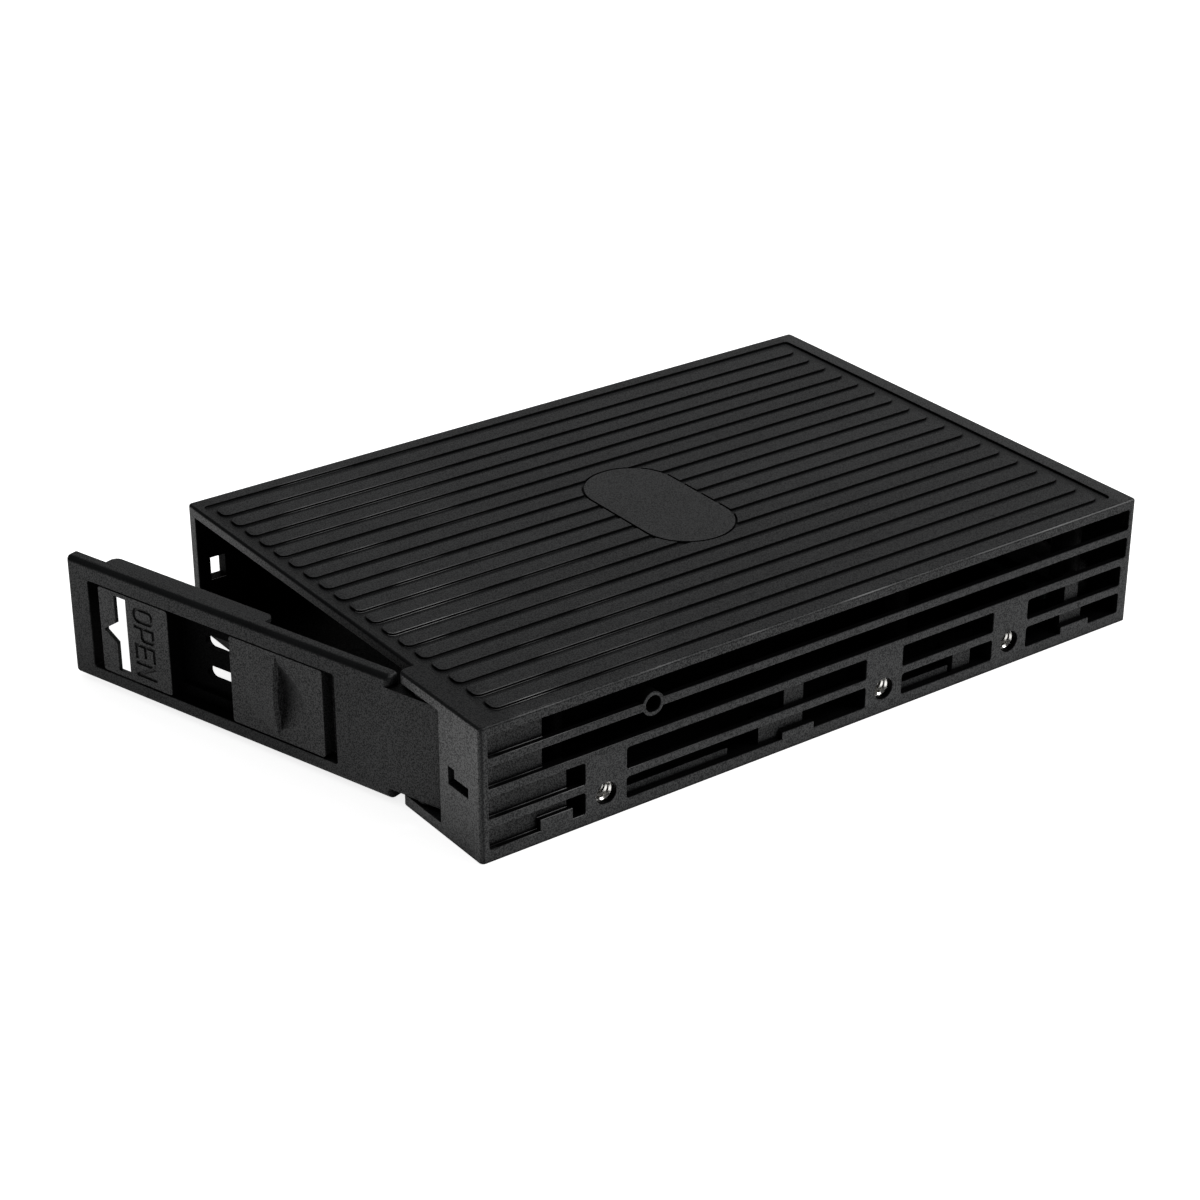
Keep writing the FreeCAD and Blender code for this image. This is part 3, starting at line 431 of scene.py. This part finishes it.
BOARD_DARK = (0.008, 0.011, 0.01, 1.0)
BOARD_RUNS = (0.018, 0.026, 0.022, 1.0)
BOARD_RUN_SCALE = 160.0
BOARD_RUN_GAP = 0.03
BOARD_SHEEN = (0.03, 0.5)
BOARD_ROUGH = (0.3, 0.42)


def start_material(name):
    """A new material, its tree and its shader."""
    material = bpy.data.materials.new(name)
    material.use_nodes = True
    tree = material.node_tree
    return material, tree, tree.nodes["Principled BSDF"]


def rounded_normal(tree, radius):
    """The surface's normal, rounded over sharp edges."""
    node = tree.nodes.new("ShaderNodeBevel")
    node.samples = EDGE_SAMPLES
    node.inputs["Radius"].default_value = radius
    return node.outputs["Normal"]


def grain_bump(tree, shader, height, strength, depth, edge):
    """Bump on top of a normal that is rounded over sharp edges."""
    bump = tree.nodes.new("ShaderNodeBump")
    bump.inputs["Strength"].default_value = strength
    bump.inputs["Distance"].default_value = depth
    tree.links.new(height, bump.inputs["Height"])
    tree.links.new(rounded_normal(tree, edge), bump.inputs["Normal"])
    tree.links.new(bump.outputs["Normal"], shader.inputs["Normal"])


def grain_rough(tree, fine, rough):
    """A roughness that follows the fine grain."""
    return ramp(tree, fine, GRAIN_SPAN, (rough - ROUGH_BELOW, rough + ROUGH_ABOVE))


def painted_edge_highlights(tree):
    """Painted highlights on the right-hand edges of the strips near the front, and of the top, broken into
    patches.
    """
    place = object_place(tree)
    x, y = axes(tree, place)[:2]
    flat = tree.nodes.new("ShaderNodeNewGeometry").outputs["True Normal"]
    rounded = rounded_normal(tree, STRIP_ROUND)
    tilt = maths(tree, "SUBTRACT", along(tree, rounded, RIGHT), along(tree, flat, RIGHT))
    level = ramp(tree, along(tree, flat, UP), STRIP_LEVEL)
    strips = product(tree, ramp(tree, tilt, STRIP_TILT), level, ramp(tree, y, STRIP_STRETCH, FALL))
    turned = along(tree, object_facing(tree), (RIGHT + UP).normalized())
    border = ramp(tree, turned, BORDER_TURN, (0.0, BORDER_SHARE))
    border = product(tree, border, ramp(tree, x, BORDER_PLACE))
    cloud = noise(tree, place, PATCH_SCALE, detail=2.0, rough=0.6)
    return product(tree, greater(tree, strips, border), ramp(tree, cloud, PATCHES, (PATCH_LEAST, 1.0)))


def front_edges(tree, turn):
    """Rounded edges of a front, above and beside it, which mirror the dark room."""
    facing = object_facing(tree)
    ahead = Vector((math.sin(turn), -math.cos(turn), 0.0))
    aside = Vector((math.cos(turn), math.sin(turn), 0.0))
    above = ramp(tree, along(tree, facing, (ahead + UP).normalized()), FRONT_EDGE_TURN)
    beside = ramp(tree, along(tree, facing, (ahead + aside).normalized()), FRONT_EDGE_TURN,
                  (0.0, SIDE_EDGE_SHARE))
    return greater(tree, above, beside)


def plastic_colour(tree, marks, lit, dark, pale, polish_and_highlights):
    """Uneven black, rubbed pale at its edges, black painted shade where no light comes, and painted
    highlights on bright edges if asked.
    """
    worn = tuple(min(1.0, c * WORN_GAIN) for c in pale[:3]) + (1.0,)
    rub = use_group(tree, WEAR).outputs["Mask"]
    colour = mix_colours(tree, ramp(tree, marks.outputs["Drift"], GRAIN_SPAN), dark, pale)
    colour = mix_colours(tree, product(tree, rub, WORN_SHARE), colour, worn)
    colour = mix_colours(tree, lit, PAINTED_SHADE_BLACK, colour)
    if polish_and_highlights:
        colour = mix_colours(tree, painted_edge_highlights(tree), colour, PAINTED_HIGHLIGHT_GREY)
    return colour


def plastic_shine(tree, marks, lit, sheen, polish_and_highlights, front_turn):
    """Specks of the grain, next to none where no light comes, and what the place adds or takes."""
    speck = ramp(tree, marks.outputs["Fine"], SPECKLE_SPAN, (1.0 - SPECKLE, 1.0 + SPECKLE))
    shine = product(tree, ramp(tree, lit, RISE, (SHEEN_INSIDE, sheen)), speck)
    if polish_and_highlights:
        shine = product(tree, shine, use_group(tree, POLISH).outputs["Gain"])
    if front_turn is not None:
        shine = product(tree, shine, ramp(tree, front_edges(tree, front_turn), RISE, (1.0, EDGE_SHINE)))
    return shine


def plastic(name, rough, shade, dark=BLACK_LOW, pale=BLACK_HIGH, grain=PLASTIC_GRAIN, edge=PLASTIC_EDGE,
            hollow_share=1.0, sheen=SHEEN, polish_and_highlights=False, front_turn=None):
    """Matte moulded plastic, with a plain sheen under the linked one. The plain sheen is
    for an export, which drops a linked one.
    """
    material, tree, shader = start_material(name)
    marks = use_group(tree, GRAIN)
    hollow = ramp(tree, use_group(tree, CAVITY).outputs["Open"], RISE, (1.0 - hollow_share, 1.0))
    lit = product(tree, hollow, use_group(tree, shade).outputs["Open"])
    colour = plastic_colour(tree, marks, lit, dark, pale, polish_and_highlights)
    shine = plastic_shine(tree, marks, lit, sheen, polish_and_highlights, front_turn)
    tree.links.new(colour, shader.inputs["Base Color"])
    tree.links.new(grain_rough(tree, marks.outputs["Fine"], rough), shader.inputs["Roughness"])
    shader.inputs["Specular IOR Level"].default_value = sheen
    tree.links.new(shine, shader.inputs["Specular IOR Level"])
    grain_bump(tree, shader, marks.outputs["Fine"], grain, PLASTIC_BUMP, edge)
    return material


def metal(name, rough, dark, pale, shade=None):
    """Turned or plated metal with a faint drift of colour."""
    material, tree, shader = start_material(name)
    marks = use_group(tree, GRAIN)
    colour = mix_colours(tree, ramp(tree, marks.outputs["Drift"], GRAIN_SPAN), dark, pale)
    # Painted shade: black where the mask says that no light comes
    if shade is not None:
        colour = mix_colours(tree, use_group(tree, shade).outputs["Open"], PAINTED_SHADE_BLACK, colour)
    tree.links.new(colour, shader.inputs["Base Color"])
    shader.inputs["Metallic"].default_value = 1.0
    tree.links.new(grain_rough(tree, marks.outputs["Fine"], rough), shader.inputs["Roughness"])
    grain_bump(tree, shader, marks.outputs["Drift"], METAL_GRAIN, METAL_BUMP, METAL_EDGE)
    return material


def board_coat(name):
    """Dark solder mask with faint copper runs under it, and black painted shade in the unlit inside."""
    material, tree, shader = start_material(name)
    runs = tree.nodes.new("ShaderNodeTexBrick")
    runs.inputs["Scale"].default_value = BOARD_RUN_SCALE
    runs.inputs["Mortar Size"].default_value = BOARD_RUN_GAP
    tree.links.new(object_place(tree), runs.inputs["Vector"])
    colour = mix_colours(tree, runs.outputs["Fac"], BOARD_DARK, BOARD_RUNS)
    lit = use_group(tree, WORKS_SHADE).outputs["Open"]
    tree.links.new(mix_colours(tree, lit, PAINTED_SHADE_BLACK, colour), shader.inputs["Base Color"])
    tree.links.new(ramp(tree, lit, RISE, BOARD_SHEEN), shader.inputs["Specular IOR Level"])
    drift = use_group(tree, GRAIN).outputs["Drift"]
    tree.links.new(ramp(tree, drift, GRAIN_SPAN, BOARD_ROUGH), shader.inputs["Roughness"])
    return material


LOOKS = {
    "housing": plastic("housing_plastic", rough=0.52, shade=SHELL_SHADE, polish_and_highlights=True, front_turn=0.0),
    "cover": plastic("cover_plastic", rough=0.55, shade=SHELL_SHADE),
    "door": plastic("door_plastic", rough=0.5, shade=DOOR_SHADE, front_turn=DOOR_TURN),
    "slider": plastic("slider_plastic", rough=0.5, shade=SLIDER_SHADE, hollow_share=0.3, sheen=0.42),
    "insert_steel": metal("insert_metal", rough=0.22,
                          dark=(0.5, 0.49, 0.47, 1.0), pale=(0.72, 0.71, 0.68, 1.0)),
    "screw_steel": metal("screw_metal", rough=0.32, shade=SCREW_SHADE,
                         dark=(0.3, 0.3, 0.31, 1.0), pale=(0.42, 0.42, 0.43, 1.0)),
    "pin_steel": metal("pin_metal", rough=0.25,
                       dark=(0.5, 0.5, 0.5, 1.0), pale=(0.6, 0.6, 0.6, 1.0)),
    "board": board_coat("board_mask"),
    "connector": plastic("connector_plastic", rough=0.45, shade=WORKS_SHADE, grain=0.3, edge=0.1 * MM,
                         dark=(0.01, 0.01, 0.011, 1.0), pale=(0.014, 0.014, 0.015, 1.0)),
    "contact_metal": metal("contact_plating", rough=0.25, shade=CONTACT_SHADE,
                           dark=(0.72, 0.5, 0.2, 1.0), pale=(0.85, 0.62, 0.28, 1.0)),
}
slot_of = {part["node"]: part["material_slot"] for part in frame["record"]["subparts"]}
for name, item in nodes.items():
    item.data.materials.clear()
    item.data.materials.append(LOOKS[slot_of[name]])


# Threads inside the side inserts

INSERT_PLACES = (-48.5 * MM, 12.5 * MM, 42.9 * MM)
INSERT_HEIGHT = 4.8 * MM
THREAD_MOUTH = HALF_WIDTH - 1.5 * MM
THREAD_LENGTH = 3.6 * MM
THREAD_BORE = 1.45 * MM
THREAD_PITCH = 0.7 * MM
THREAD_STEPS = 28
THREAD_SMOOTH = math.radians(40)
RIDGE_CORNERS = 3
RIDGE_SHARE = 0.52
QUARTER_TURN = math.pi / 2


def thread_ridge():
    """A helical ridge for the wall of a bore, up from the origin."""
    bpy.ops.object.select_all(action="DESELECT")
    bpy.ops.mesh.primitive_circle_add(vertices=RIDGE_CORNERS, radius=THREAD_PITCH * RIDGE_SHARE,
                                      fill_type="NOTHING")
    ridge = bpy.context.object
    bpy.ops.object.mode_set(mode="EDIT")
    bpy.ops.mesh.select_all(action="SELECT")
    bpy.ops.transform.rotate(value=QUARTER_TURN, orient_axis="X", center_override=(0, 0, 0))
    bpy.ops.transform.rotate(value=-QUARTER_TURN, orient_axis="Y", center_override=(0, 0, 0))
    bpy.ops.transform.translate(value=(THREAD_BORE, 0, THREAD_PITCH / 2))
    bpy.ops.object.mode_set(mode="OBJECT")
    turns = ridge.modifiers.new("turns", "SCREW")
    turns.axis = "Z"
    turns.angle = 2 * math.pi
    turns.screw_offset = THREAD_PITCH
    turns.iterations = int(THREAD_LENGTH / THREAD_PITCH) - 1
    turns.steps = THREAD_STEPS
    turns.render_steps = THREAD_STEPS
    bpy.ops.object.modifier_apply(modifier=turns.name)
    bpy.ops.object.shade_smooth_by_angle(angle=THREAD_SMOOTH)
    return ridge


def thread(ridge, name, mouth, inward, body, slot):
    """A copy of the ridge that runs inwards from the mouth of an insert."""
    item = bpy.data.objects.new(name, ridge.data.copy())
    scene.collection.objects.link(item)
    spin = UP.rotation_difference(inward).to_matrix().to_4x4()
    item.data.transform(Matrix.Translation(mouth) @ spin)
    item.data.materials.append(LOOKS[slot])
    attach(item, body)


ridge = thread_ridge()
for side_name, outward in (("right", RIGHT), ("left", -RIGHT)):
    for number, y in enumerate(INSERT_PLACES):
        mouth = outward * THREAD_MOUTH + Vector((0.0, y, INSERT_HEIGHT))
        thread(ridge, "thread_%s_%d" % (side_name, number + 1), mouth, -outward, "housing", "insert_steel")
bpy.data.objects.remove(ridge)


# Floor, backdrop and light

WHITE = (1.0, 1.0, 1.0, 1.0)
PAPER = (0.8, 0.8, 0.8, 1.0)
FLOOR_SIZE = 8.0
FLOOR_DROP = 0.2 * MM
FLOOR_SEEN = 0.78
FRONT_FLOOR = (0.2, 0.4)
SIDE_FLOOR = (1.1, 0.3)
SIDE_START = (HALF_WIDTH - 5.0 * MM, HALF_WIDTH + 5.0 * MM)
FLOOR_REACH = (0.0, 60.0 * MM)
GLINT_PLACE = (26.0 * MM, -90.0 * MM, 0.0)
GLINT_REACH = 26.0 * MM
GLINT = 0.7
BACKDROP_WAY = (-0.8096, 0.587, 0.0)
BACKDROP_SPREAD = (0.5, 0.85)
BACKDROP_HEIGHTS = (0.25, 0.95)
BACKDROP_LEVELS = (0.66, 0.25)
ROOM_LEVELS = (0.45, 0.08)
KEY_PLACE = Vector((0.55, 0.62, 0.86))
KEY_AIM = Vector((0.0, 0.0, 0.01))
KEY_SIZE = 0.5
KEY_POWER = 9.0


def background_rays(tree):
    """1 for rays that see the background plainly, and 1 for those that see it in a shiny face."""
    path = tree.nodes.new("ShaderNodeLightPath")
    plain = greater(tree, path.outputs["Is Camera Ray"], path.outputs["Is Transmission Ray"])
    return plain, path.outputs["Is Glossy Ray"]


def footprint_distance(tree, x, y):
    """How far a point of the floor lies from the housing that stands on it."""
    beside = maths(tree, "SUBTRACT", maths(tree, "ABSOLUTE", x), HALF_WIDTH)
    beyond = maths(tree, "SUBTRACT", maths(tree, "ABSOLUTE", y), REAR_END)
    return diagonal(tree, greater(tree, beside, 0.0), greater(tree, beyond, 0.0))


def mirrored_floor(tree):
    """The glow of the floor as shiny faces see it, painted in: shaded in front, pale at the right, with a
    glint by the pillar.
    """
    place = object_place(tree)
    x, y = axes(tree, place)[:2]
    spread = footprint_distance(tree, x, y)
    front = ramp(tree, spread, FLOOR_REACH, FRONT_FLOOR)
    side = ramp(tree, spread, FLOOR_REACH, SIDE_FLOOR)
    change = product(tree, ramp(tree, x, SIDE_START), maths(tree, "SUBTRACT", side, front))
    near_pillar = tree.nodes.new("ShaderNodeVectorMath")
    near_pillar.operation = "DISTANCE"
    tree.links.new(place, near_pillar.inputs[0])
    near_pillar.inputs[1].default_value = GLINT_PLACE
    glint = ramp(tree, near_pillar.outputs["Value"], (0.0, GLINT_REACH), (GLINT, 0.0))
    return maths(tree, "ADD", maths(tree, "ADD", front, change), glint)


def white_floor():
    """A pale floor that shows white to the camera and keeps a soft shadow."""
    bpy.ops.object.select_all(action="DESELECT")
    bpy.ops.mesh.primitive_plane_add(size=FLOOR_SIZE, location=(0, 0, -FLOOR_DROP))
    floor = bpy.context.object
    floor.name = "floor"
    material = bpy.data.materials.new("floor_paper")
    material.use_nodes = True
    tree = material.node_tree
    tree.nodes.clear()
    paper = tree.nodes.new("ShaderNodeBsdfDiffuse")
    paper.inputs["Color"].default_value = PAPER
    plain, mirrored = background_rays(tree)
    shown = greater(tree, product(tree, plain, FLOOR_SEEN), product(tree, mirrored, mirrored_floor(tree)))
    glow = tree.nodes.new("ShaderNodeEmission")
    glow.inputs["Color"].default_value = WHITE
    tree.links.new(shown, glow.inputs["Strength"])
    both = tree.nodes.new("ShaderNodeAddShader")
    tree.links.new(paper.outputs["BSDF"], both.inputs[0])
    tree.links.new(glow.outputs["Emission"], both.inputs[1])
    out = tree.nodes.new("ShaderNodeOutputMaterial")
    tree.links.new(both.outputs["Shader"], out.inputs["Surface"])
    floor.data.materials.append(material)


def studio_world():
    """White to the camera, a pale backdrop behind the part for shiny faces, and a dim room round it."""
    world = bpy.data.worlds.new("studio")
    scene.world = world
    world.use_nodes = True
    tree = world.node_tree
    back = tree.nodes["Background"]
    back.inputs["Color"].default_value = WHITE
    way = tree.nodes.new("ShaderNodeTexCoord").outputs["Generated"]
    behind = ramp(tree, along(tree, way, BACKDROP_WAY), BACKDROP_SPREAD)
    height = axes(tree, way)[2]
    backdrop = product(tree, behind, ramp(tree, height, BACKDROP_HEIGHTS, BACKDROP_LEVELS))
    plain, mirrored = background_rays(tree)
    shown = greater(tree, plain, product(tree, mirrored, backdrop))
    room = ramp(tree, mirrored, RISE, ROOM_LEVELS)
    tree.links.new(greater(tree, shown, room), back.inputs["Strength"])


def key_light():
    """One soft lamp above the part, behind it and to its right."""
    data = bpy.data.lights.new("key", "AREA")
    data.shape = "DISK"
    data.size = KEY_SIZE
    data.energy = KEY_POWER
    lamp = bpy.data.objects.new("key", data)
    scene.collection.objects.link(lamp)
    lamp.location = KEY_PLACE
    lamp.rotation_euler = (KEY_AIM - KEY_PLACE).to_track_quat("-Z", "Y").to_euler()


white_floor()
studio_world()
key_light()


# Camera fitted to the photograph

AZIMUTH = math.radians(54.06)
ELEVATION = math.radians(27.302)
ROLL = math.radians(0.034)
CAMERA_DISTANCE = 527.221 * MM
SHIFT_RIGHT = 10.537 * MM
SHIFT_UP = -4.521 * MM
FOCAL_PIXELS = 2780.9
IMAGE_PIXELS = 1200.0
SENSOR_WIDTH = 36.0
NEAREST = 10.0 * MM


def photo_camera():
    """A camera that sees the part in the image as the photograph shows it."""
    level = math.cos(ELEVATION)
    back_axis = Vector((math.sin(AZIMUTH) * level, -math.cos(AZIMUTH) * level, math.sin(ELEVATION)))
    right_axis = Vector((math.cos(AZIMUTH), math.sin(AZIMUTH), 0.0))
    up_axis = back_axis.cross(right_axis)
    data = bpy.data.cameras.new("camera")
    data.sensor_width = SENSOR_WIDTH
    data.sensor_fit = "AUTO"
    data.lens = FOCAL_PIXELS / IMAGE_PIXELS * SENSOR_WIDTH
    data.clip_start = NEAREST
    camera = bpy.data.objects.new("camera", data)
    scene.collection.objects.link(camera)
    turn = Matrix((right_axis, up_axis, back_axis)).transposed().to_4x4()
    place = back_axis * CAMERA_DISTANCE - right_axis * SHIFT_RIGHT - up_axis * SHIFT_UP
    camera.matrix_world = Matrix.Translation(place) @ turn @ Matrix.Rotation(ROLL, 4, "Z")
    scene.camera = camera


photo_camera()

scene.view_settings.view_transform = "Standard"
